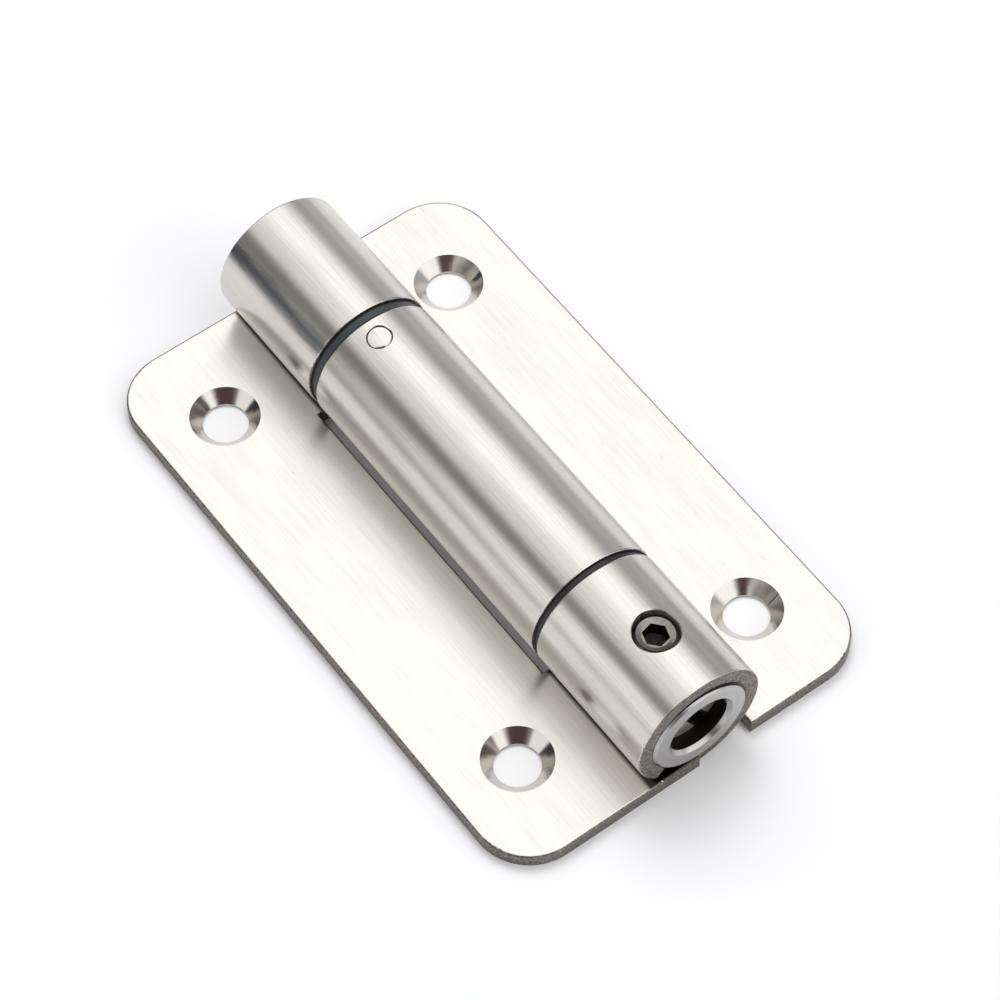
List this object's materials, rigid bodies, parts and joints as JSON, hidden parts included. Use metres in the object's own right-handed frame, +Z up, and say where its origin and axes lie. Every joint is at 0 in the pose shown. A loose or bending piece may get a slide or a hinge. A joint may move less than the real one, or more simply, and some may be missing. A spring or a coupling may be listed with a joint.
{
  "type": "spring hinge",
  "caption": "Flat steel leaves on a thick rolled barrel that holds a torsion spring; swings a cubicle door shut and is tensioned at one end.",
  "frame": {"origin": "centre of the footprint, on the plane of the leaves' undersides", "axes": "+X from the frame leaf to the door leaf, +Y along the barrel away from the adjuster, +Z up out of the mounting face"},
  "size_m": [0.0556, 0.089, 0.0182],
  "materials": {
    "brushed_leaf_steel": "brushed along the barrel",
    "turned_steel": "turned satin",
    "screw_steel": "plain dark steel",
    "spring_steel": "oiled spring wire",
    "black_nylon": "moulded matte",
    "slate_acetal": "moulded matte"
  },
  "bodies": {
    "frame": {"frame_leaf": "brushed_leaf_steel", "back_bush": "black_nylon", "front_washer": "black_nylon", "back_washer": "slate_acetal"},
    "door": {"door_leaf": "brushed_leaf_steel", "anchor_plug": "turned_steel", "anchor_pin": "turned_steel", "front_bush": "black_nylon", "spring_arbor": "turned_steel", "torsion_spring": "spring_steel"},
    "adjuster": {"adjuster_plug": "turned_steel"},
    "lock": {"lock_screw": "screw_steel"}
  },
  "joints": [
    {"name": "door_swing", "type": "hinge", "parent": "frame", "child": "door", "pos_m": [0, 0, 0.0091], "axis": [0, -1, 0], "range_deg": [0, 180], "stiffness_Nm_per_rad": 0.3, "deforming": ["torsion_spring"]},
    {"name": "adjuster_turn", "type": "hinge", "parent": "frame", "child": "adjuster", "pos_m": [0, -0.034, 0.0091], "axis": [0, 1, 0], "range_deg": [0, 360], "deforming": ["torsion_spring"]},
    {"name": "lock_screw_travel", "type": "slide", "parent": "frame", "child": "lock", "axis": [0.0523, 0, 0.9986], "range_m": [0, 0.003]}
  ]
}
